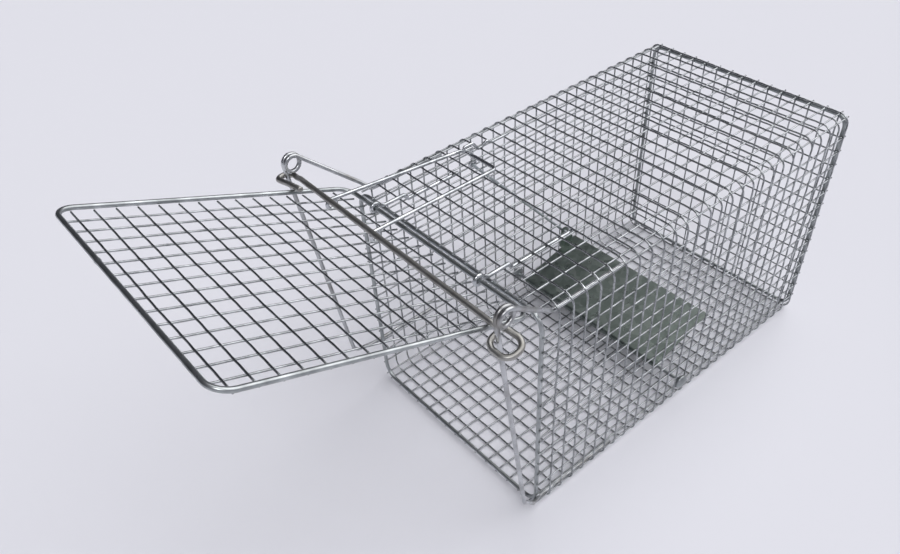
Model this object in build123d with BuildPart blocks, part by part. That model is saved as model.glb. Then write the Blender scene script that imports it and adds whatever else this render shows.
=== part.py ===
"""Live catch trap of welded wire mesh: a long cage, a top-hung door held open by a bail,
a locking bar that rides down two guide rods, and a treadle that slips the catch.

X runs across the cage, +Y from the door end to the closed end, +Z up.
The origin is on the ground at the middle of the door end, where a first hoop would stand.
"""

import os
from math import cos, pi, radians, sin, sqrt

from build123d import *

os.makedirs("parts", exist_ok=True)

# ---------------------------------------------------------------- driving dimensions (mm)
PITCH = 12.7  # mesh pitch across the cage and up its sides
HOOP_PITCH = 12.3  # spacing of the hoops along the cage
PITCHES = 27  # along the cage; the front frame stands in for the first hoop
HALF_WIDTH = 98.3  # outside of the hoops
HEIGHT = 201.0
BEND_R = 9.4  # outer radius of the sleeve's long bends
ROOF_RUNS = 7  # long wires each side of the middle one, on roof and floor
WALL_RUNS = 14  # long wires on a side wall
TOP_RUN = 19.8  # the highest of them, below the roof
WIRE_DIA = 1.3  # mesh wire
WELD = 0.3  # how far crossing wires sink into each other
ROD_R = 1.6  # frames, guides, treadle rod
LOCK_R = 2.0
HOOK_R = 1.5
BAIL_R = 1.4
CATCH_R = 1.2
LINK_R = 1.2
SHEET = 1.0

FRONT_Y = 0.0  # plane of the front frame
FRONT_BEND_R = 13.0
REAR_BEND_R = 8.6
GUIDE_X = 107.5  # the guides splay out to this at coils and feet
COIL_Y, COIL_Z, COIL_R = -41.5, 233.0, 6.0
HOOK_X = (-60.3, 48.0)
HOOK_REACH = (66.0, 75.0)

HINGE_Y, HINGE_Z = -9.5, 204.0
DOOR_LENGTH = 200.0  # hinge rod to outer rod
DOOR_HALF = 94.0
DOOR_OPEN = 21.5  # degrees above level when the trap is set
DOOR_ROWS = 15
DOOR_RUNS = 7  # long wires each side of the middle
DOOR_BEND_R = 11.0

BAIL_X = (-76.2, -25.4)
BAIL_FAR_X = (-75.0, -38.0)
BAIL_FAR = (84.0, 203.5)
CATCH_X = -69.85
CATCH_Y, CATCH_Z = 88.4, 191.5  # eye that the link hangs in
LINK_X = -89.0
LUG_Y, LUG_Z = 215.0, 55.0

TREADLE_Y, TREADLE_Z = 166.0, 22.0  # pivot rod
TREADLE_TILT = 14.0
TREADLE_DEPTH = 68.0
TREADLE_X = (-86.0, 74.0)
RUNNING = 0.08  # clearance of the treadle barrel on its rod

# ---------------------------------------------------------------- worked out from them
SECTION = WIRE_DIA * sqrt(pi) / 2  # square wire of the same area as the round one
LAYERS = 2 * SECTION - WELD  # thickness of the welded mesh
LENGTH = PITCHES * HOOP_PITCH
CAGE_END = LENGTH + SECTION / 2
REAR_Y = CAGE_END + ROD_R
SLEEVE_END = REAR_Y + ROD_R + 0.5  # the long wires run on over the rear frame
MID_Z = HEIGHT / 2
FLAT_X = HALF_WIDTH - BEND_R
FLAT_Z = MID_Z - BEND_R
hoop_ys = [k * HOOP_PITCH for k in range(1, PITCHES + 1)]
roof_xs = [k * PITCH for k in range(-ROOF_RUNS, ROOF_RUNS + 1)]
wall_zs = [MID_Z - TOP_RUN - k * PITCH for k in range(WALL_RUNS)]  # above mid height


def keep(builder, name):
    """Labels a finished piece and writes it out."""
    builder.part.label = name
    export_step(builder.part, f"parts/{name}.step")
    return builder.part


def add_rod(points, radius, bend_r):
    """Adds round rod, bent at each corner of the line through the points."""
    with BuildLine() as path:
        if bend_r and len(points) > 2:
            FilletPolyline(*points, radius=bend_r)
        else:
            Polyline(*points)
    with BuildSketch(Plane(origin=path.line @ 0, z_dir=path.line % 0)) as section:
        Circle(radius)
    sweep(section.sketch, path=path.line)


def add_ring(corners, radius, bend_r):
    """Adds round rod bent to a closed frame through the corners."""
    with BuildLine() as path:
        FilletPolyline(*corners, radius=bend_r, close=True)
    edge = path.edges().filter_by(GeomType.LINE).sort_by(SortBy.LENGTH)[-1]
    with BuildSketch(Plane(origin=edge @ 0, z_dir=edge % 0)) as section:
        Circle(radius)
    sweep(section.sketch, path=path.wires()[0])


def add_eye(centre, mean_r, radius):
    """Adds a ring of round rod whose axis runs along X."""
    with Locations(Location(centre, (0, 90, 0))):
        Torus(mean_r, radius)


def door_point(along, above=0.0):
    """Y and Z of a point on the open door, from its distance along and above the door."""
    tilt = radians(DOOR_OPEN)
    y = HINGE_Y - along * cos(tilt) + above * sin(tilt)
    z = HINGE_Z + along * sin(tilt) + above * cos(tilt)
    return y, z


# ---------------------------------------------------------------- mesh panels
def welded_panel(name, outside, cross, cross_span, run_at, run_span):
    """Flat mesh panel hanging inwards from the plane of its outer face.

    Local x is across and local y along the long wires. cross lists the local y of the
    outer wires, and run_at the local x of the inner ones.
    """
    middle = (run_span[0] + run_span[1]) / 2
    with BuildPart() as panel:
        with BuildSketch(outside):
            with Locations(*[(0, y) for y in cross]):
                Rectangle(cross_span, SECTION)
        extrude(amount=SECTION)
        with BuildSketch(outside.offset(SECTION - WELD)):
            with Locations(*[(x, middle) for x in run_at]):
                Rectangle(SECTION, run_span[1] - run_span[0])
        extrude(amount=SECTION)
    return keep(panel, name)


sleeve_span = (FRONT_Y - 1.2, SLEEVE_END)
roof_plane = Plane(origin=(0, 0, HEIGHT), x_dir=(-1, 0, 0), z_dir=(0, 0, -1))
floor_plane = Plane(origin=(0, 0, 0), x_dir=(1, 0, 0), z_dir=(0, 0, 1))
right_plane = Plane(origin=(HALF_WIDTH, 0, MID_Z), x_dir=(0, 0, 1), z_dir=(-1, 0, 0))
left_plane = Plane(origin=(-HALF_WIDTH, 0, MID_Z), x_dir=(0, 0, -1), z_dir=(1, 0, 0))
welded_panel("roof_mesh", roof_plane, hoop_ys, 2 * FLAT_X, roof_xs, sleeve_span)
welded_panel("floor_mesh", floor_plane, hoop_ys, 2 * FLAT_X, roof_xs, sleeve_span)
welded_panel("right_wall_mesh", right_plane, hoop_ys, 2 * FLAT_Z, wall_zs, sleeve_span)
welded_panel("left_wall_mesh", left_plane, hoop_ys, 2 * FLAT_Z, [-z for z in wall_zs], sleeve_span)

# the closed end fits inside the sleeve, its wire ends butted on the sleeve's wires
rear_plane = Plane(origin=(0, CAGE_END, MID_Z), x_dir=(1, 0, 0), z_dir=(0, -1, 0))
rear_half_x = HALF_WIDTH - LAYERS
rear_half_z = MID_Z - LAYERS
welded_panel("rear_mesh", rear_plane, wall_zs, 2 * rear_half_x, roof_xs, (-rear_half_z, rear_half_z))


def bend_strip(name, side, up, run_from):
    """One long bend of the sleeve: a quarter of every hoop, and the wire in mid-bend."""
    centre = (side * FLAT_X, MID_Z + up * FLAT_Z)
    mid_r = (BEND_R - SECTION + WELD - SECTION / 2) / sqrt(2)
    with BuildPart() as strip:
        for y in hoop_ys:
            with BuildSketch(Plane.XZ.offset(-(y + SECTION / 2))):
                with Locations(centre):
                    Circle(BEND_R)
                    Circle(BEND_R - SECTION, mode=Mode.SUBTRACT)
                with Locations((centre[0] + side * BEND_R, centre[1] + up * BEND_R)):
                    Rectangle(2 * BEND_R, 2 * BEND_R, mode=Mode.INTERSECT)
            extrude(amount=SECTION)
        with BuildSketch(Plane.XZ.offset(-SLEEVE_END)):
            with Locations((centre[0] + side * mid_r, centre[1] + up * mid_r)):
                Rectangle(SECTION, SECTION, rotation=45)
        extrude(amount=SLEEVE_END - run_from)
        with BuildSketch(Plane.XZ.offset(-SLEEVE_END)):
            with Locations((centre[0], MID_Z + up * (MID_Z - LAYERS / 2 - (SECTION - WELD) / 2))):
                Rectangle(SECTION, LAYERS - SECTION + WELD)
        extrude(amount=SLEEVE_END - sleeve_span[0], mode=Mode.SUBTRACT)
    return keep(strip, name)


# the roof bends leave a gap at the front, where the guides pass out
bend_strip("roof_left_bend", -1, 1, HOOP_PITCH - SECTION / 2)
bend_strip("roof_right_bend", 1, 1, HOOP_PITCH - SECTION / 2)
bend_strip("floor_left_bend", -1, -1, sleeve_span[0])
bend_strip("floor_right_bend", 1, -1, sleeve_span[0])


# ---------------------------------------------------------------- frames
def rod_ring(name, y, half_x, half_z, bend_r):
    """Rod bent to a rounded rectangle and butt-welded, standing across the cage at y."""
    low, high = MID_Z - half_z, MID_Z + half_z
    corners = [(half_x, y, low), (half_x, y, high), (-half_x, y, high), (-half_x, y, low)]
    with BuildPart() as ring:
        add_ring(corners, ROD_R, bend_r)
    return keep(ring, name)


inset = LAYERS + ROD_R
rod_ring("front_frame", FRONT_Y, HALF_WIDTH - inset, MID_Z - inset, FRONT_BEND_R)
rod_ring("rear_frame", REAR_Y, HALF_WIDTH - inset, MID_Z - inset, REAR_BEND_R)


# ---------------------------------------------------------------- guides
def guide(name, side, foot):
    """Guide rod: tail under the roof, two-turn coil, straight slide, and its foot."""
    corner = LAYERS + ROD_R + (BEND_R - LAYERS - ROD_R) * (1 - 1 / sqrt(2))
    tail_x, tail_z = side * (HALF_WIDTH - corner), HEIGHT - corner
    near, far = side * GUIDE_X + ROD_R + 0.05, side * GUIDE_X - ROD_R - 0.05
    step = (near - far) / 4
    top, bottom = COIL_Z + COIL_R, COIL_Z - COIL_R
    front, back = COIL_Y - COIL_R, COIL_Y + COIL_R
    with BuildPart() as rod:
        add_rod([(tail_x, 76, tail_z), (tail_x, 9.5, tail_z), (tail_x + side * 3, 3.8, tail_z + 6),
                 (near - 0.5, back + 4, top), (near, front, top), (near - step, front, bottom),
                 (near - 2 * step, back, bottom), (near - 3 * step, back, top), (far, front, top)] + foot,
                ROD_R, 5.4)
    return keep(rod, name)


FOOT_X, FOOT_Y, FOOT_Z = 105.5, -23.3, 39.5
floor_corner = LAYERS + ROD_R + (BEND_R - LAYERS - ROD_R) * (1 - 1 / sqrt(2))
in_corner = HALF_WIDTH - floor_corner
beside = -(HALF_WIDTH + ROD_R)
# the left foot turns back along the outside of the wall
guide("left_guide", -1, [(-FOOT_X, FOOT_Y, FOOT_Z), (beside, -6, FOOT_Z + 2.5), (beside, 58, FOOT_Z + 2.5)])
# the right foot passes behind the front frame and lies inside the floor bend
guide("right_guide", 1, [(FOOT_X, FOOT_Y, FOOT_Z), (98.6, -6.5, 14.0), (in_corner, 5.0, floor_corner),
                         (in_corner, 85, floor_corner)])


# ---------------------------------------------------------------- hinge hooks
def hinge_hook(name, x, reach):
    """Wire curled round the door's hinge rod, laid over the first hoop and tucked under the rest."""
    over = HEIGHT + HOOK_R
    under = HEIGHT - SECTION - HOOK_R
    curl_r = ROD_R + HOOK_R + 0.1
    with BuildPart() as hook:
        add_eye((x, HINGE_Y, HINGE_Z), curl_r, HOOK_R)
        add_rod([(x, HINGE_Y + curl_r, HINGE_Z - 0.4), (x, -1.5, over), (x, 16, over), (x, 18.8, under),
                 (x, reach, under)], HOOK_R, 1.6)
    return keep(hook, name)


hinge_hook("left_hinge_hook", HOOK_X[0], HOOK_REACH[0])
hinge_hook("right_hinge_hook", HOOK_X[1], HOOK_REACH[1])

# ---------------------------------------------------------------- treadle rod
with BuildPart() as treadle_rod:
    with Locations(Location((0, TREADLE_Y, TREADLE_Z), (0, 90, 0))):
        Cylinder(ROD_R, 2 * HALF_WIDTH + 2)
    for side in (-1, 1):
        with Locations(Location((side * (HALF_WIDTH + 1.0), TREADLE_Y, TREADLE_Z), (0, 90, 0))):
            Cylinder(6.2, 2.0)
keep(treadle_rod, "treadle_rod")

# ---------------------------------------------------------------- door
with BuildPart() as door_frame:
    hinge_y, hinge_z = door_point(0)
    outer_y, outer_z = door_point(DOOR_LENGTH)
    add_ring([(DOOR_HALF, hinge_y, hinge_z), (DOOR_HALF, outer_y, outer_z), (-DOOR_HALF, outer_y, outer_z),
              (-DOOR_HALF, hinge_y, hinge_z)], ROD_R, DOOR_BEND_R)
keep(door_frame, "door_frame")

under_y, under_z = door_point(0, -ROD_R)
tilt = radians(DOOR_OPEN)
door_plane = Plane(origin=(0, under_y, under_z), x_dir=(1, 0, 0), z_dir=(0, -sin(tilt), -cos(tilt)))
door_rows = [k * PITCH for k in range(1, DOOR_ROWS + 1)]
door_runs = [(2 * k - 1) * PITCH / 2 for k in range(1 - DOOR_RUNS, DOOR_RUNS + 1)]
welded_panel("door_mesh", door_plane, door_rows, 2 * DOOR_HALF, door_runs, (2.0, DOOR_LENGTH - 2))

# ---------------------------------------------------------------- lock bar
LOCK_MIDDLE = (0, -42.0, 222.9)
left_hook = [(-99, -42.0, 224.5), (-104.5, -41.3, 222.6), (-110, -41, 222.2), (-117, -44, 221),
             (-116, -51.5, 220.8), (-100, -50.5, 223.6), (-86, -50, 225.8)]
right_hook = [(97, -42.0, 221.3), (103, -37.5, 218.5), (117, -34, 215), (118, -50, 212),
              (100.5, -51, 214), (100, -42, 215.5)]
with BuildPart() as lock_bar:
    add_rod([LOCK_MIDDLE] + left_hook, LOCK_R, 3.0)
    add_rod([LOCK_MIDDLE] + right_hook, LOCK_R, 6.8)
keep(lock_bar, "lock_bar")

# ---------------------------------------------------------------- bail
EYE_Y, EYE_Z = door_point(2 * PITCH, -ROD_R - SECTION / 2)
with BuildPart() as set_bail:
    for x in BAIL_X:
        add_eye((x, EYE_Y, EYE_Z), 3.6, BAIL_R)
    add_rod([(BAIL_X[0], EYE_Y + 3.6, EYE_Z), (BAIL_FAR_X[0], *BAIL_FAR), (BAIL_FAR_X[1], *BAIL_FAR),
             (BAIL_X[1], EYE_Y + 3.6, EYE_Z)], BAIL_R, 4.0)
keep(set_bail, "set_bail")

# ---------------------------------------------------------------- catch, link and treadle
with BuildPart() as catch_hook:
    low = HEIGHT + CATCH_R + 0.4
    finger = BAIL_FAR[1] + BAIL_R + CATCH_R + 0.3
    top = finger + 2 * CATCH_R + 0.4
    add_eye((CATCH_X, CATCH_Y, CATCH_Z), 3.0, CATCH_R)
    add_rod([(CATCH_X, CATCH_Y, CATCH_Z + 3.0), (CATCH_X, CATCH_Y, finger), (CATCH_X, BAIL_FAR[0] - 2, finger)],
            CATCH_R, 1.6)
    with Locations(Location((CATCH_X, BAIL_FAR[0] - 2, (finger + top) / 2), (0, 90, 0))):
        Cylinder((top - finger) / 2 + CATCH_R, 2 * CATCH_R)
    add_rod([(CATCH_X, BAIL_FAR[0] - 2, top), (CATCH_X, CATCH_Y + 1, top), (CATCH_X, CATCH_Y + 6, low),
             (CATCH_X, CATCH_Y + 10, low), (CATCH_X, CATCH_Y + 15, low + 3), (CATCH_X, CATCH_Y + 20, low),
             (CATCH_X, CATCH_Y + 37, low)], CATCH_R, 1.6)
keep(catch_hook, "catch_hook")

with BuildPart() as link_rod:
    add_rod([(CATCH_X + 3.4, CATCH_Y, CATCH_Z), (CATCH_X - 3.7, CATCH_Y, CATCH_Z), (LINK_X, LUG_Y, LUG_Z),
             (TREADLE_X[0] + 4, LUG_Y, LUG_Z)], LINK_R, 1.6)
keep(link_rod, "link_rod")

lean = radians(TREADLE_TILT)
plate_plane = Plane(origin=(TREADLE_X[0], TREADLE_Y, TREADLE_Z), x_dir=(0, cos(lean), sin(lean)), z_dir=(1, 0, 0))
with BuildPart() as treadle_plate:
    bore = ROD_R + RUNNING
    with BuildSketch(plate_plane):
        Circle(bore + SHEET)
        with Locations((TREADLE_DEPTH / 2, bore + SHEET / 2)):
            Rectangle(TREADLE_DEPTH, SHEET)
        Circle(bore, mode=Mode.SUBTRACT)
    extrude(amount=TREADLE_X[1] - TREADLE_X[0])
    across = (LUG_Y - TREADLE_Y) * cos(lean) + (LUG_Z - TREADLE_Z) * sin(lean)
    above = (LUG_Z - TREADLE_Z) * cos(lean) - (LUG_Y - TREADLE_Y) * sin(lean)
    with BuildSketch(plate_plane):
        Polygon((across - 16, bore), (across + 10, bore), (across + 5, above + 4), (across - 5, above + 4),
                align=None)
        with Locations((across, above)):
            Circle(LINK_R + 0.6, mode=Mode.SUBTRACT)
    extrude(amount=SHEET)
keep(treadle_plate, "treadle_plate")
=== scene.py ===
import bpy
import numpy as np
from mathutils import Matrix


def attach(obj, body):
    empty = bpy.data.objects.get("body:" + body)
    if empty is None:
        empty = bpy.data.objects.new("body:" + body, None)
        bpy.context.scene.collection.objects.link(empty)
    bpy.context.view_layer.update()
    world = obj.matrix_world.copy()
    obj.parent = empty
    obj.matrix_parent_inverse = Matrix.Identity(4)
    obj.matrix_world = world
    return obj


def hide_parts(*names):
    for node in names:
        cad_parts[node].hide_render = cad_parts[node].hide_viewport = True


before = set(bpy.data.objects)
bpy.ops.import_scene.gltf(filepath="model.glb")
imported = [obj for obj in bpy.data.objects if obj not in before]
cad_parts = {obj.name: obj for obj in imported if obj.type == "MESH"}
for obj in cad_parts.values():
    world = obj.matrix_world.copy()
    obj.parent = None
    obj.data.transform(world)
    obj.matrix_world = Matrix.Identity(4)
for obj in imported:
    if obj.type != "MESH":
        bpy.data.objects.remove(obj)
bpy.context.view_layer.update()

# ------------------------------------------------------------------ sleeve of welded mesh
# Floor, walls and roof are one sheet of half-inch welded mesh, folded into a square sleeve.
# Each hoop crosses outside the long wires and is resistance-welded at every crossing, then
# the whole sheet is galvanised, so zinc thickens the joints a little.
MM = 0.001
PITCH = 12.7
HOOP_PITCH = 12.3
HALF_WIDTH, HEIGHT = 98.3, 201.0
BEND_R = 9.4
WIRE_R = 0.65
LAYERS = 2.004  # depth from the outer face of the mesh to its inner face
HOOP_DEPTH = WIRE_R + 0.1
RUN_DEPTH = LAYERS + 0.05 - WIRE_R
ROD_R = 1.6
hoop_ys = np.arange(1, 28) * HOOP_PITCH
HALF_SECTION = 0.576  # half the side of the square that holds as much steel as the wire
CAGE_END = hoop_ys[-1] + HALF_SECTION
REAR_Y = CAGE_END + ROD_R
sleeve = (-1.2, REAR_Y + ROD_R + 0.4)
roof_xs = np.arange(-7, 8) * PITCH
TOP_RUN = 19.8  # the highest long wire of a wall, below the roof
wall_zs = HEIGHT / 2 - TOP_RUN - np.arange(14)[::-1] * PITCH
dice = np.random.default_rng(7)


def linear(hex_colour, alpha=1.0):
    """sRGB hex to linear: below 0.04045 divide by 12.92, above it raise (c + 0.055) / 1.055 to 2.4."""
    c = np.array([int(hex_colour[i:i + 2], 16) for i in (1, 3, 5)]) / 255
    low, high = c / 12.92, ((c + 0.055) / 1.055) ** 2.4
    return (*np.where(c <= 0.04045, low, high).tolist(), alpha)


def add_node(tree, kind, links=(), **settings):
    """Adds one shader node. A setting naming an input fills that socket, any other sets the node's
    own property, and links lists (this node's input, other node, its output)."""
    n = tree.nodes.new(kind)
    for key, value in settings.items():
        label = key.replace("_", " ")
        found = [s for s in n.inputs if s.name.lower() == label.lower()]
        if found and not hasattr(n, key):
            found[0].default_value = value
        else:
            setattr(n, key, value)
    for socket, other, output in links:
        tree.links.new(other.outputs[output], n.inputs[socket])
    return n


def ramp(tree, source, output, stops):
    """Colour ramp with the given (position, colour) stops, driven by a node's output."""
    r = add_node(tree, "ShaderNodeValToRGB", [("Fac", source, output)])
    while len(r.color_ramp.elements) < len(stops):
        r.color_ramp.elements.new(0.5)
    for element, (place, colour) in zip(r.color_ramp.elements, stops):
        element.position = place
        element.color = colour
    return r


def plated_wire(name, colours, rough, blotch_mm, grain_mm, grain=0.15):
    """Zinc over drawn steel: a metal whose grey drifts in soft blotches, dull where the coat is
    thick and bright where the die left it smooth, with a fine grain too small to count."""
    m = bpy.data.materials.new(name)
    m.use_nodes = True
    t = m.node_tree
    shader = t.nodes["Principled BSDF"]
    shader.inputs["Metallic"].default_value = 1.0
    place = add_node(t, "ShaderNodeTexCoord")
    blotch = add_node(t, "ShaderNodeTexNoise", [("Vector", place, "Object")],
                      Scale=1 / (blotch_mm * MM), Detail=3.0, Roughness=0.6)
    fine = add_node(t, "ShaderNodeTexNoise", [("Vector", place, "Object")],
                    Scale=1 / (grain_mm * MM), Detail=2.0, Roughness=0.7)
    tint = ramp(t, blotch, "Fac", list(zip((0.3, 0.5, 0.68), map(linear, colours))))
    dull = add_node(t, "ShaderNodeMapRange", [("Value", blotch, "Fac")], From_Min=0.3, From_Max=0.7,
                    To_Min=rough[0], To_Max=rough[1])
    bump = add_node(t, "ShaderNodeBump", [("Height", fine, "Fac")], Strength=grain, Distance=0.05 * MM)
    t.links.new(tint.outputs["Color"], shader.inputs["Base Color"])
    t.links.new(dull.outputs["Result"], shader.inputs["Roughness"])
    t.links.new(bump.outputs["Normal"], shader.inputs["Normal"])
    return m


galvanised_mesh = plated_wire("galvanised_welded_wire", ("#7b7e80", "#9a9d9f", "#b8bbbd"),
                              (0.30, 0.17), 9, 0.6)


def tube(points, radius, side, sides=12, closed=False):
    """Round bar along a path. At each station two unit vectors square to the path are found, the
    first as side cross tangent, and a ring of radius r cos a and r sin a is laid out on them. Open
    ends get a small chamfer and a flat face. Returns vertices, quads and triangles."""
    p = np.asarray(points, float)
    side = np.broadcast_to(np.asarray(side, float), p.shape)
    r = np.broadcast_to(np.asarray(radius, float), len(p)).copy()
    if closed:
        t = np.roll(p, -1, 0) - np.roll(p, 1, 0)
    else:
        t = np.gradient(p, axis=0)
    t /= np.linalg.norm(t, axis=1, keepdims=True)
    if not closed:
        p = np.vstack([p[:1], p, p[-1:]])
        p[0] -= 0.25 * r[0] * t[0]
        p[-1] += 0.25 * r[-1] * t[-1]
        t = np.vstack([t[:1], t, t[-1:]])
        r = np.concatenate([[0.75 * r[0]], r, [0.75 * r[-1]]])
        side = np.vstack([side[:1], side, side[-1:]])
    u = np.cross(side, t)
    u /= np.linalg.norm(u, axis=1, keepdims=True)
    v = np.cross(t, u)
    a = np.arange(sides) * 2 * np.pi / sides
    ring = np.cos(a)[None, :, None] * u[:, None] + np.sin(a)[None, :, None] * v[:, None]
    verts = (p[:, None] + r[:, None, None] * ring).reshape(-1, 3)
    n = len(p)
    i = np.arange(n if closed else n - 1)[:, None]
    j = np.arange(sides)[None, :]
    here, turn = i * sides + j, i * sides + (j + 1) % sides
    ahead, both = (i + 1) % n * sides + j, (i + 1) % n * sides + (j + 1) % sides
    quads = np.stack([here, turn, both, ahead], -1).reshape(-1, 4)
    tris = np.empty((0, 3), int)
    if not closed:
        verts = np.vstack([verts, p[:1], p[-1:]])
        j, k = np.arange(sides), (np.arange(sides) + 1) % sides
        last = (n - 1) * sides
        first_cap = np.stack([np.full(sides, n * sides), k, j], -1)
        last_cap = np.stack([np.full(sides, n * sides + 1), last + j, last + k], -1)
        tris = np.vstack([first_cap, last_cap])
    return verts, quads, tris


def piece(name, shapes, finish, body):
    """Joins shapes in millimetres into one smooth mesh in metres, and hangs it on its CAD body."""
    start, verts, faces = 0, [], []
    for v, quads, tris in shapes:
        verts.append(v)
        faces += (quads + start).tolist() + (tris + start).tolist()
        start += len(v)
    mesh = bpy.data.meshes.new(name)
    mesh.from_pydata((np.vstack(verts) * MM).tolist(), [], faces)
    mesh.shade_smooth()
    mesh.materials.append(finish)
    obj = bpy.data.objects.new(name, mesh)
    bpy.context.scene.collection.objects.link(obj)
    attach(obj, body)
    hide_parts(name)


def stations(low, high, welds):
    """Places along a wire: both ends, five close together at each weld, and one between welds."""
    welds = np.asarray(welds, float)
    near = (welds[:, None] + np.array([-1.7, -0.8, 0, 0.8, 1.7])).ravel()
    between = (welds[1:] + welds[:-1]) / 2
    s = np.concatenate([[low, high], near, between])
    return np.unique(np.clip(s, low, high).round(4))


def joint_swell(s, welds):
    """Wire radius: grows by a tenth, as a bell curve, where zinc pools in each weld."""
    gap = np.abs(np.asarray(s)[:, None] - np.asarray(welds)[None, :]).min(1)
    return WIRE_R * (1 + 0.10 * np.exp(-(gap / 0.9) ** 2))


def straying(s, low, high, most):
    """A wire's drift off its line: two slow sines of random phase, faded out at both ends."""
    f = (s - low) / (high - low)
    phases = dice.uniform(0, 2 * np.pi, 2)
    wave = 0.6 * np.sin(2 * np.pi * 1.5 * f + phases[0]) + 0.4 * np.sin(2 * np.pi * 3.7 * f + phases[1])
    return most * wave * np.sin(np.pi * f)


def flat_mesh(origin, across, along, inward, cross_at, cross_span, run_at, run_span):
    """Flat panel of crossed wires. Outer wires lie in the direction across at the places cross_at;
    inner wires lie in the direction along at run_at, deeper by a wire less the weld."""
    origin, across, along, inward = (np.asarray(x, float) for x in (origin, across, along, inward))
    shapes = []
    s = stations(*cross_span, run_at)
    for y in cross_at:
        sideways = y + straying(s, *cross_span, 0.28)
        ripple = 0.10 * np.cos(2 * np.pi * (s - run_at[0]) / PITCH)
        depth = HOOP_DEPTH + ripple + straying(s, *cross_span, 0.10)
        line = origin + s[:, None] * across + sideways[:, None] * along + depth[:, None] * inward
        shapes.append(tube(line, joint_swell(s, run_at), along))
    s = stations(*run_span, cross_at)
    for x in run_at:
        sideways = x + straying(s, *run_span, 0.30)
        line = origin + sideways[:, None] * across + s[:, None] * along + RUN_DEPTH * inward
        shapes.append(tube(line, joint_swell(s, cross_at), across))
    return shapes


X, Y, Z = np.eye(3)
flat_x, flat_z = HALF_WIDTH - BEND_R, HEIGHT / 2 - BEND_R
mid_z = HEIGHT / 2
flats = {
    "roof_mesh": ((0, 0, HEIGHT), X, Y, -Z, flat_x, roof_xs),
    "floor_mesh": ((0, 0, 0), X, Y, Z, flat_x, roof_xs),
    "left_wall_mesh": ((-HALF_WIDTH, 0, mid_z), Z, Y, X, flat_z, wall_zs),
    "right_wall_mesh": ((HALF_WIDTH, 0, mid_z), Z, Y, -X, flat_z, wall_zs),
}
for name, (origin, across, along, inward, half, run_at) in flats.items():
    shapes = flat_mesh(origin, across, along, inward, hoop_ys, (-half, half), run_at, sleeve)
    piece(name, shapes, galvanised_mesh, "cage")

# Long bends: the press brake leaves one long wire in the middle of each fold.
quarter = np.linspace(0, np.pi / 2, 9)
for side, side_name in ((-1, "left"), (1, "right")):
    for up, up_name in ((-1, "floor"), (1, "roof")):
        centre = np.array([side * flat_x, 0, mid_z + up * flat_z])
        shapes = []
        for y in hoop_ys:
            out = np.stack([side * np.sin(quarter), 0 * quarter, up * np.cos(quarter)], -1)
            line = centre + (BEND_R - HOOP_DEPTH) * out + y * Y
            shapes.append(tube(line, WIRE_R, Y))
        first = hoop_ys[0] - 1.2 if up > 0 else sleeve[0]
        s = stations(first, sleeve[1], hoop_ys)
        out = np.array([side, 0, up]) / np.sqrt(2)
        line = centre + (BEND_R - RUN_DEPTH) * out + s[:, None] * Y
        shapes.append(tube(line, joint_swell(s, hoop_ys), X))
        piece(f"{up_name}_{side_name}_bend", shapes, galvanised_mesh, "cage")

# ------------------------------------------------------------------ closed end
# A square of the same mesh dropped inside the end of the sleeve, its wire ends welded to it.
inner_x, inner_z = HALF_WIDTH - RUN_DEPTH, mid_z - RUN_DEPTH
shapes = flat_mesh((0, CAGE_END, mid_z), X, Z, -Y, wall_zs, (-inner_x, inner_x), roof_xs, (-inner_z, inner_z))
piece("rear_mesh", shapes, galvanised_mesh, "cage")

# ------------------------------------------------------------------ end frames
# Both ends are stiffened by a ring of heavier rod, bent to the opening and butt-welded in the
# middle of the bottom bar. The flash of the weld is left on.
plated_rod = plated_wire("zinc_plated_rod", ("#868a8b", "#a3a7a8", "#bec2c3"), (0.38, 0.26), 16, 0.5)


def bent(corners, bend, closed=False, step=6.0):
    """Path of straights and arcs. At each corner the arc of the bend radius touches both straights;
    its points are centre + radius (cos a, sin a) in the corner's own plane. Arcs get a point every
    step degrees."""
    c = np.asarray(corners, float)
    bend = np.broadcast_to(bend, len(c))
    path = [] if closed else [c[:1]]
    places = range(len(c)) if closed else range(1, len(c) - 1)
    for i in places:
        before, after = c[i - 1] - c[i], c[(i + 1) % len(c)] - c[i]
        before, after = before / np.linalg.norm(before), after / np.linalg.norm(after)
        half = np.arccos(np.clip(before @ after, -1, 1)) / 2
        reach = bend[i] / np.tan(half)
        middle = (before + after) / np.linalg.norm(before + after)
        centre = c[i] + middle * bend[i] / np.sin(half)
        start = c[i] + before * reach - centre
        finish = c[i] + after * reach - centre
        sweep = np.pi - 2 * half
        n = max(3, int(np.ceil(np.degrees(sweep) / step)) + 1)
        a = np.linspace(0, sweep, n)[:, None]
        across = finish - start * (start @ finish) / (start @ start)
        across *= np.linalg.norm(start) / np.linalg.norm(across)
        path.append(centre + np.cos(a) * start + np.sin(a) * across)
    if not closed:
        path.append(c[-1:])
    return fill_in(np.vstack(path), closed)


def fill_in(path, closed=False, longest=12.0):
    """Puts evenly spaced points into every straight longer than longest."""
    ends = np.vstack([path[1:], path[:1]]) if closed else path[1:]
    out = []
    for a, b in zip(path, ends):
        n = max(1, int(np.ceil(np.linalg.norm(b - a) / longest)))
        out.append(a + (b - a) * np.arange(n)[:, None] / n)
    if not closed:
        out.append(path[-1:])
    return np.vstack(out)


def with_flash(path, radius, places):
    """Radius along a path, swollen by a fifth over 1.5 mm at each weld place."""
    r = np.full(len(path), radius)
    for place in places:
        gap = np.linalg.norm(path - np.asarray(place), axis=1)
        r *= 1 + 0.22 * np.exp(-(gap / 1.5) ** 2)
    return r


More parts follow.
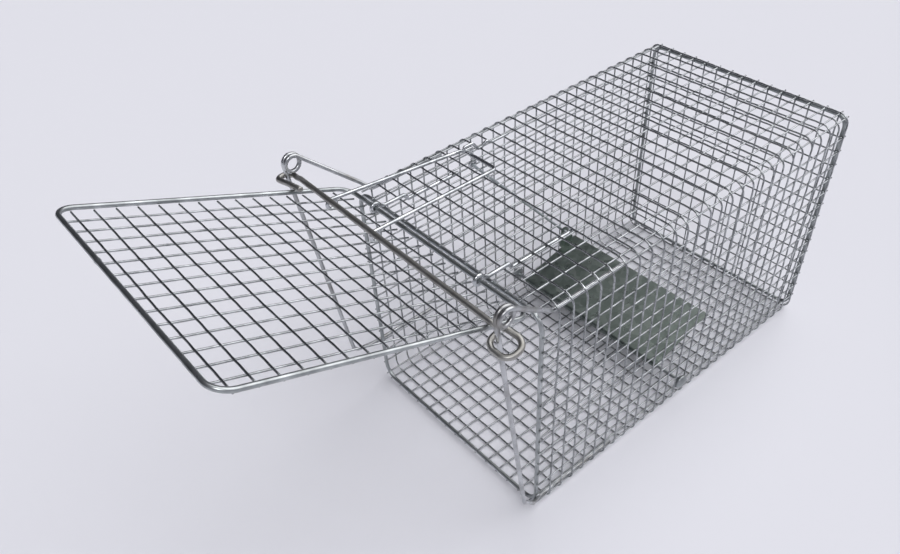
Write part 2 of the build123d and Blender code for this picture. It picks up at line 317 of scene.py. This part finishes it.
def ring_with_weld(name, y, half_x, half_z, bend, weld_x):
    """Rounded rectangle of rod standing at y, welded at weld_x on its bottom bar."""
    low, high = mid_z - half_z, mid_z + half_z
    corners = [(half_x, y, low), (half_x, y, high), (-half_x, y, high), (-half_x, y, low)]
    path = bent(corners, bend, closed=True)
    close = np.array([(weld_x + d, y, low) for d in (-3, -1.5, -0.7, 0, 0.7, 1.5, 3)])
    path = np.vstack([path, close])
    on_bar = np.abs(path[:, 2] - low) < 1e-6
    order = np.argsort(path[on_bar, 0])
    path = np.vstack([path[~on_bar], path[on_bar][order]])
    shape = tube(path, with_flash(path, ROD_R, [(weld_x, y, low)]), Y, sides=16, closed=True)
    piece(name, [shape], plated_rod, "cage")


inset = LAYERS + ROD_R
ring_with_weld("front_frame", 0.0, HALF_WIDTH - inset, mid_z - inset, 13.0, 4.0)
ring_with_weld("rear_frame", REAR_Y, HALF_WIDTH - inset, mid_z - inset, 8.6, -20.0)

# ------------------------------------------------------------------ guide rods
# Plated rods, one each side. The tail lies in the roof bend, passes out between two hoops, winds
# a loop and a quarter, and drops as a straight slide for the locking bar.
GUIDE_X, COIL_Y, COIL_Z, COIL_R = 107.5, -41.5, 233.0, 6.0
FOOT = np.array([105.5, -23.3, 39.5])
guide_rod = plated_wire("zinc_plated_guide_rod", ("#8b8986", "#b0b2b4", "#cbcdcf"), (0.36, 0.22), 22, 0.5)
corner = inset + (BEND_R - inset) * (1 - 1 / np.sqrt(2))


def guide(name, side, foot):
    """Tail, coil and foot as one path. The coil goes over the top and down the front: y falls by
    r sin a and z by r (1 - cos a), while x shifts by a rod's width in each whole turn."""
    tail_x, tail_z = side * (HALF_WIDTH - corner), HEIGHT - corner
    near, far = side * GUIDE_X + ROD_R + 0.05, side * GUIDE_X - ROD_R - 0.05
    down = foot[0] - np.array([far, COIL_Y - COIL_R, COIL_Z])
    leave = 2 * np.pi + np.arctan2(-down[2], -down[1])
    a = np.linspace(np.radians(-38), leave, 66)
    shift = np.clip((a - np.radians(20)) / (2 * np.pi), 0, 1)
    coil_x = near + (far - near) * shift
    coil = np.stack([coil_x, COIL_Y - COIL_R * np.sin(a), COIL_Z + COIL_R * np.cos(a)], -1)
    tail = bent([(tail_x, 76, tail_z), (tail_x, 9.5, tail_z), (tail_x + side * 3, 3.8, tail_z + 6),
                 coil[0]], 5.0)
    slide = bent([coil[-1]] + list(foot), 5.4)
    path = np.vstack([tail[:-1], coil, slide[1:]])
    piece(name, [tube(path, ROD_R, X, sides=16)], guide_rod, "cage")


beside = -(HALF_WIDTH + ROD_R)
guide("left_guide", -1, [FOOT * (-1, 1, 1), np.array([beside, -6, 42.0]), np.array([beside, 58, 42.0])])
guide("right_guide", 1, [FOOT, np.array([98.6, -6.5, 14.0]), np.array([HALF_WIDTH - corner, 5.0, corner]),
                         np.array([HALF_WIDTH - corner, 85, corner])])

# ------------------------------------------------------------------ hinge hooks
# Two wires curled round the door's hinge rod. Each lies over the first hoops, dives through a
# cell and runs back under the roof.
HINGE_Y, HINGE_Z = -9.5, 204.0
HOOK_R = 1.5
plated_hook = plated_wire("zinc_plated_hook_wire", ("#8f9294", "#b7babd", "#d6d7d9"), (0.30, 0.16), 8, 0.4)


def hinge_hook(name, x, reach):
    """Curl of most of a turn about the hinge rod, then the shank, drop and tail in one path."""
    curl_r = ROD_R + HOOK_R + 0.1
    a = np.radians(np.linspace(-75, 205, 40))
    curl = np.stack([x + 0 * a, HINGE_Y - curl_r * np.sin(a), HINGE_Z + curl_r * np.cos(a)], -1)[::-1]
    over, under = HEIGHT + HOOK_R, HEIGHT - 2 * HALF_SECTION - HOOK_R
    rest = bent([curl[-1], (x, -1.5, over), (x, 16, over), (x, 18.8, under), (x, reach, under)],
                (0, 4, 1.6, 1.6, 0))
    piece(name, [tube(np.vstack([curl[:-1], rest]), HOOK_R, X, sides=14)], plated_hook, "cage")


hinge_hook("left_hinge_hook", -60.3, 66)
hinge_hook("right_hinge_hook", 48.0, 75)

# ------------------------------------------------------------------ treadle rod
# Straight pivot rod through both walls, kept in by a washer pressed on each end.
TREADLE_Y, TREADLE_Z = 166.0, 22.0
reach = HALF_WIDTH + 2.3
line = fill_in(np.array([(-reach, TREADLE_Y, TREADLE_Z), (reach, TREADLE_Y, TREADLE_Z)]))
shapes = [tube(line, ROD_R, Z, sides=16)]
for side in (-1, 1):
    faces = side * (HALF_WIDTH + np.array([0.1, 0.35, 1.75, 2.0]))
    washer = np.stack([faces, 0 * faces + TREADLE_Y, 0 * faces + TREADLE_Z], -1)
    shapes.append(tube(washer, np.array([5.9, 6.2, 6.2, 5.9]), Z, sides=28))
piece("treadle_rod", shapes, plated_rod, "cage")

# ------------------------------------------------------------------ door
# Ring of rod with a mesh panel welded under it. It swings on its own top rod, and stands open
# above the mouth while the trap is set.
DOOR_LENGTH, DOOR_HALF = 200.0, 94.0
lean = np.radians(21.5)
door_out = np.array([0, -np.cos(lean), np.sin(lean)])
door_up = np.array([0, np.sin(lean), np.cos(lean)])
hinge = np.array([0, HINGE_Y, HINGE_Z])
far_rod = hinge + DOOR_LENGTH * door_out
corners = [hinge + DOOR_HALF * X, far_rod + DOOR_HALF * X, far_rod - DOOR_HALF * X, hinge - DOOR_HALF * X]
path = bent(corners, 11.0, closed=True)
weld = far_rod - 30 * X
close = np.array([weld + d * X for d in (-3, -1.5, -0.7, 0, 0.7, 1.5, 3)])
path = np.vstack([path, close])
on_rod = np.abs((path - far_rod) @ door_out) < 1e-6
order = np.argsort(-path[on_rod, 0])
first = np.flatnonzero(on_rod)[0]
path = np.vstack([path[:first][~on_rod[:first]], path[on_rod][order], path[first:][~on_rod[first:]]])
shape = tube(path, with_flash(path, ROD_R, [weld]), door_up, sides=16, closed=True)
piece("door_frame", [shape], plated_rod, "door")

door_rows = np.arange(1, 16) * PITCH
door_runs = (np.arange(-7, 7) + 0.5) * PITCH
shapes = flat_mesh(hinge - ROD_R * door_up, X, door_out, -door_up, door_rows,
                   (0.8 - DOOR_HALF, DOOR_HALF - 0.8), door_runs, (2.0, DOOR_LENGTH - 2))
piece("door_mesh", shapes, galvanised_mesh, "door")

# ------------------------------------------------------------------ locking bar
# Heavier bar with a hook turned round each guide rod. It rests on the open door, and falls
# behind the shut one so that it can't be pushed up.
LOCK_R = 2.0
dark_plated = plated_wire("dark_plated_bar", ("#8c8a85", "#a3a29e", "#bab9b6"), (0.44, 0.32), 14, 0.5)
middle = (0, -42.0, 222.9)
left_hook = [(-99, -42.0, 224.5), (-104.5, -41.3, 222.6), (-110, -41, 222.2), (-117, -44, 221),
             (-116, -51.5, 220.8), (-100, -50.5, 223.6), (-86, -50, 225.8)]
right_hook = [(97, -42.0, 221.3), (103, -37.5, 218.5), (117, -34, 215), (118, -50, 212),
              (100.5, -51, 214), (100, -42, 215.5)]
left_path = bent([middle] + left_hook, (0, 6, 3, 3, 3.6, 3.6, 12, 0))
right_path = bent([middle] + right_hook, (0, 6.8, 6.8, 6.8, 6.8, 6.8, 0))
path = np.vstack([left_path[::-1], right_path[1:]])
piece("lock_bar", [tube(path, LOCK_R, Z, sides=18)], dark_plated, "lock_bar")

# ------------------------------------------------------------------ set bail
# Wire bail hung by two eyes from a cross wire of the door. Its closed end reaches back over the
# roof and is held down by the catch.
BAIL_R = 1.4
trigger_wire = plated_wire("bright_plated_trigger_wire", ("#8d9092", "#b9bcbf", "#d9dadb"),
                           (0.28, 0.14), 10, 0.4)
eye = hinge + 2 * PITCH * door_out - (ROD_R + HALF_SECTION) * door_up
far_y, far_z = 84.0, 203.5


def eye_turn(x, start, finish, radius, centre):
    """Turn of wire about a line along X, from one angle to another, measured from the top."""
    a = np.radians(np.linspace(start, finish, 36))
    return np.stack([x + 0 * a, centre[1] + radius * np.sin(a), centre[2] + radius * np.cos(a)], -1)


leave = np.degrees(np.arctan2(eye[2] + 3.6 - far_z, far_y - eye[1]))
left_eye = eye_turn(-76.2, leave - 325, leave, 3.6, eye)
right_eye = eye_turn(-25.4, leave, leave - 325, 3.6, eye)
legs = bent([left_eye[-1], (-75.0, far_y, far_z), (-38.0, far_y, far_z), right_eye[0]], 4.0)
path = np.vstack([left_eye[:-1], legs, right_eye[1:]])
# the reference direction turns slowly from across to upright between the eyes and the closed end
turn = np.clip((path[:, 1:2] - eye[1] - 5) / 90, 0, 1)
shape = tube(path, BAIL_R, (1 - turn) * X + turn * Z, sides=14)
piece("set_bail", [shape], trigger_wire, "bail")

# ------------------------------------------------------------------ catch
# One bent wire: an eye below the roof for the link, a leg up through a cell, a doubled finger
# over the bail, and a tail that lies back along the roof.
CATCH_R = 1.2
CATCH_X, CATCH_Y, CATCH_Z = -69.85, 88.4, 191.5
low = HEIGHT + CATCH_R + 0.4
finger = far_z + BAIL_R + CATCH_R + 0.3
top = finger + 2 * CATCH_R + 0.4
ring = eye_turn(CATCH_X, 330, 0, 3.0, (0, CATCH_Y, CATCH_Z))
rise = bent([ring[-1], (CATCH_X, CATCH_Y, finger), (CATCH_X, far_y - 2, finger)], 1.6)
fold = np.radians(np.linspace(180, 360, 13))
half = (top - finger) / 2
tip_z = (top + finger) / 2 + half * np.cos(fold)
tip = np.stack([CATCH_X + 0 * fold, far_y - 2 + half * np.sin(fold), tip_z], -1)
tail = bent([(CATCH_X, far_y - 2, top), (CATCH_X, CATCH_Y + 1, top), (CATCH_X, CATCH_Y + 6, low),
             (CATCH_X, CATCH_Y + 10, low), (CATCH_X, CATCH_Y + 15, low + 3), (CATCH_X, CATCH_Y + 20, low),
             (CATCH_X, CATCH_Y + 37, low)], 1.6)
path = np.vstack([ring[:-1], rise[:-1], tip[:-1], tail])
piece("catch_hook", [tube(path, CATCH_R, X, sides=14)], trigger_wire, "catch")

# ------------------------------------------------------------------ link
# Straight rod from the catch down to the treadle, cranked at both ends.
LINK_R = 1.2
LINK_X = -89.0
TREADLE_X = (-86.0, 74.0)
LUG_Y, LUG_Z = 215.0, 55.0
link_wire = plated_wire("dull_plated_link", ("#9ba3a6", "#b4babd", "#c9cdcf"), (0.46, 0.34), 12, 0.5)
path = bent([(CATCH_X + 3.4, CATCH_Y, CATCH_Z), (CATCH_X - 3.7, CATCH_Y, CATCH_Z), (LINK_X, LUG_Y, LUG_Z),
             (TREADLE_X[0] + 4, LUG_Y, LUG_Z)], 1.6)
piece("link_rod", [tube(path, LINK_R, (0, 0.73, 0.68), sides=14)], link_wire, "link")

# ------------------------------------------------------------------ treadle
# Galvanised sheet, its front edge rolled into a barrel round the rod, one side turned up into a
# lug that takes the link.
SHEET = 1.0
BARREL_R = ROD_R + 0.08
TREADLE_DEPTH = 68.0
tilt = np.radians(14.0)
plate_out = np.array([0, np.cos(tilt), np.sin(tilt)])
plate_up = np.array([0, -np.sin(tilt), np.cos(tilt)])
pivot = np.array([0, TREADLE_Y, TREADLE_Z])


def galvanised_sheet_metal():
    """Hot-dip zinc on sheet: crystals several millimetres across, each a slightly different grey
    and gloss, over a dark grey-green base."""
    m = bpy.data.materials.new("spangled_galvanised_sheet")
    m.use_nodes = True
    t = m.node_tree
    shader = t.nodes["Principled BSDF"]
    shader.inputs["Metallic"].default_value = 1.0
    place = add_node(t, "ShaderNodeTexCoord")
    crystals = add_node(t, "ShaderNodeTexVoronoi", [("Vector", place, "Object")], Scale=1 / (5 * MM))
    grey = add_node(t, "ShaderNodeSeparateColor", [("Color", crystals, "Color")])
    tint = ramp(t, grey, "Red", [(0.0, linear("#6c7570")), (0.5, linear("#767f7a")),
                                 (1.0, linear("#838b86"))])
    dull = add_node(t, "ShaderNodeMapRange", [("Value", grey, "Green")], To_Min=0.26, To_Max=0.44)
    t.links.new(tint.outputs["Color"], shader.inputs["Base Color"])
    t.links.new(dull.outputs["Result"], shader.inputs["Roughness"])
    return m


def sheet_strip(line, normal_side, thick):
    """Closed loop of the sheet's section: the line, then the same line offset by its thickness."""
    t = np.gradient(line, axis=0)
    t /= np.linalg.norm(t, axis=1, keepdims=True)
    off = np.stack([-t[:, 1], t[:, 0]], -1) * normal_side * thick
    return np.vstack([line, (line + off)[::-1]])


def extruded(section, x0, x1):
    """Prism: the section's (out, up) points carried from x0 to x1, its two ends left open."""
    xs = np.array([x0, x1])
    flat = pivot + section[:, :1] * plate_out + section[:, 1:] * plate_up
    verts = (flat[None] + xs[:, None, None] * X).reshape(-1, 3)
    n = len(section)
    j, k = np.arange(n), (np.arange(n) + 1) % n
    quads = np.stack([j, k, n + k, n + j], -1)
    return verts, quads


spangle = galvanised_sheet_metal()
a = np.radians(np.linspace(-240, 0, 34))
barrel = np.stack([(BARREL_R + SHEET) * np.sin(a), (BARREL_R + SHEET) * np.cos(a)], -1)
plate = np.stack([np.linspace(0, TREADLE_DEPTH, 18)[1:], np.full(17, BARREL_R + SHEET)], -1)
outline = np.vstack([barrel, plate])
section = sheet_strip(outline, -1, SHEET)
verts, quads = extruded(section, *TREADLE_X)
mesh = bpy.data.meshes.new("treadle_plate")
n = len(section)
half = n // 2
j = np.arange(half - 1)
strip = np.stack([j, j + 1, n - 2 - j, n - 1 - j], -1)
ends = np.vstack([strip[:, ::-1], strip + n])
mesh.from_pydata((verts * MM).tolist(), [], np.vstack([quads, ends]).tolist())
lug_across = (LUG_Y - TREADLE_Y) * np.cos(tilt) + (LUG_Z - TREADLE_Z) * np.sin(tilt)
lug_above = (LUG_Z - TREADLE_Z) * np.cos(tilt) - (LUG_Y - TREADLE_Y) * np.sin(tilt)
mesh.materials.append(spangle)
treadle = bpy.data.objects.new("treadle_plate", mesh)
bpy.context.scene.collection.objects.link(treadle)
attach(treadle, "treadle")
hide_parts("treadle_plate")

# the lug is a tapered tab with a rounded top, pierced for the link
hole = LINK_R + 0.6
b = np.radians(np.arange(48) * 7.5)
around = np.stack([lug_across + hole * np.cos(b), lug_above + hole * np.sin(b)], -1)
low_edge = BARREL_R + 0.4
below = np.sin(b) < 0
spread = np.where(below, 4.6 + 8.5 * (-np.sin(b)), 4.6)
rim = np.stack([lug_across + spread * np.sign(np.cos(b)) * np.abs(np.cos(b)) ** np.where(below, 0.6, 1.0),
                np.where(below, lug_above + (low_edge - lug_above) * np.abs(np.sin(b)) ** 0.7,
                         lug_above + 4.6 * np.sin(b))], -1)
loops = []
outer, inner = TREADLE_X[0], TREADLE_X[0] + SHEET
for x, pts in ((outer, around), (outer, rim), (inner, rim), (inner, around)):
    loops.append(pivot + x * X + pts[:, :1] * plate_out + pts[:, 1:] * plate_up)
verts = np.vstack(loops)
m = len(b)
i, j = np.arange(4)[:, None], np.arange(m)[None, :]
k = (j + 1) % m
after = (i + 1) % 4
quads = np.stack([i * m + j, i * m + k, after * m + k, after * m + j], -1).reshape(-1, 4)
mesh = bpy.data.meshes.new("treadle_lug")
mesh.from_pydata((verts * MM).tolist(), [], quads.tolist())
mesh.materials.append(spangle)
lug = bpy.data.objects.new("treadle_lug", mesh)
bpy.context.scene.collection.objects.link(lug)
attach(lug, "treadle")

# ------------------------------------------------------------------ studio
# Plain pale floor under soft light. The key light stands high to the right of the door end. The
# sky is dim on the left and lighter on the right, with a broad bright panel above and beyond the
# closed end, so the long wires carry a highlight.
floor_mesh = bpy.data.meshes.new("studio_floor")
reach = 6.0
floor_mesh.from_pydata([(-reach, -reach, -0.0004), (reach, -reach, -0.0004), (reach, reach, -0.0004),
                        (-reach, reach, -0.0004)], [], [(0, 1, 2, 3)])
floor = bpy.data.objects.new("studio_floor", floor_mesh)
bpy.context.scene.collection.objects.link(floor)
pale = bpy.data.materials.new("pale_paper")
pale.use_nodes = True
pale.node_tree.nodes["Principled BSDF"].inputs["Base Color"].default_value = linear("#dedee4")
pale.node_tree.nodes["Principled BSDF"].inputs["Roughness"].default_value = 0.9
pale.node_tree.nodes["Principled BSDF"].inputs["Specular IOR Level"].default_value = 0.1
floor_mesh.materials.append(pale)


sun = bpy.data.lights.new("key_light", "SUN")
sun.energy, sun.angle = 0.9, np.radians(24)
key = bpy.data.objects.new("key_light", sun)
toward = np.array([0.50, -0.42, 0.76])
toward /= np.linalg.norm(toward)
side_way = np.cross(Z, toward) / np.linalg.norm(np.cross(Z, toward))
key.matrix_world = Matrix(np.column_stack([side_way, np.cross(toward, side_way), toward, 2 * toward]).tolist()
                          + [[0, 0, 0, 1]])
bpy.context.scene.collection.objects.link(key)

world = bpy.data.worlds.new("studio_world")
bpy.context.scene.world = world
world.use_nodes = True
sky = world.node_tree
backdrop = sky.nodes["Background"]
where = add_node(sky, "ShaderNodeTexCoord")
split = add_node(sky, "ShaderNodeSeparateXYZ", [("Vector", where, "Generated")])
across = add_node(sky, "ShaderNodeMapRange", [("Value", split, "X")], From_Min=-1.0, From_Max=1.0)
shade = ramp(sky, across, "Result", [(0.05, linear("#46464c")), (0.35, linear("#56565e")),
                                     (0.9, linear("#a4a4ae"))])
black, white = (0, 0, 0, 1), (1, 1, 1, 1)
box = ramp(sky, across, "Result", [(0.27, black), (0.36, white), (0.80, white), (0.90, black)])
high = add_node(sky, "ShaderNodeMapRange", [("Value", split, "Z")], From_Min=0.10, From_Max=0.35, To_Max=2.1)
behind = add_node(sky, "ShaderNodeMapRange", [("Value", split, "Y")], From_Min=-0.1, From_Max=0.15)
lit = add_node(sky, "ShaderNodeMath", operation="MULTIPLY")
sky.links.new(high.outputs["Result"], lit.inputs[0])
sky.links.new(behind.outputs["Result"], lit.inputs[1])
panel = add_node(sky, "ShaderNodeVectorMath", operation="SCALE")
sky.links.new(box.outputs["Color"], panel.inputs[0])
sky.links.new(lit.outputs["Value"], panel.inputs["Scale"])
total = add_node(sky, "ShaderNodeVectorMath", operation="ADD")
sky.links.new(shade.outputs["Color"], total.inputs[0])
sky.links.new(panel.outputs["Vector"], total.inputs[1])
sky.links.new(total.outputs["Vector"], backdrop.inputs["Color"])
backdrop.inputs["Strength"].default_value = 1.0

scene = bpy.context.scene
scene.view_settings.view_transform = "Standard"
# the camera looks down over the open door from the right, so mouth, roof and right wall all show
lens = bpy.data.cameras.new("three_quarter_camera")
camera = bpy.data.objects.new("three_quarter_camera", lens)
scene.collection.objects.link(camera)
lens.sensor_width = 36.0
lens.lens = 31.376
lens.shift_x = -0.0056
lens.shift_y = 0.0811
lens.clip_start = 0.01
right = np.array([0.64733, 0.76053, -0.05058])
down = np.array([0.51487, -0.48524, -0.70672])
forward = np.array([-0.56202, 0.43144, -0.70569])
place = np.array([0.33408, -0.25125, 0.51695])
camera.matrix_world = Matrix(np.column_stack([right, -down, -forward, place]).tolist() + [[0, 0, 0, 1]])
scene.camera = camera
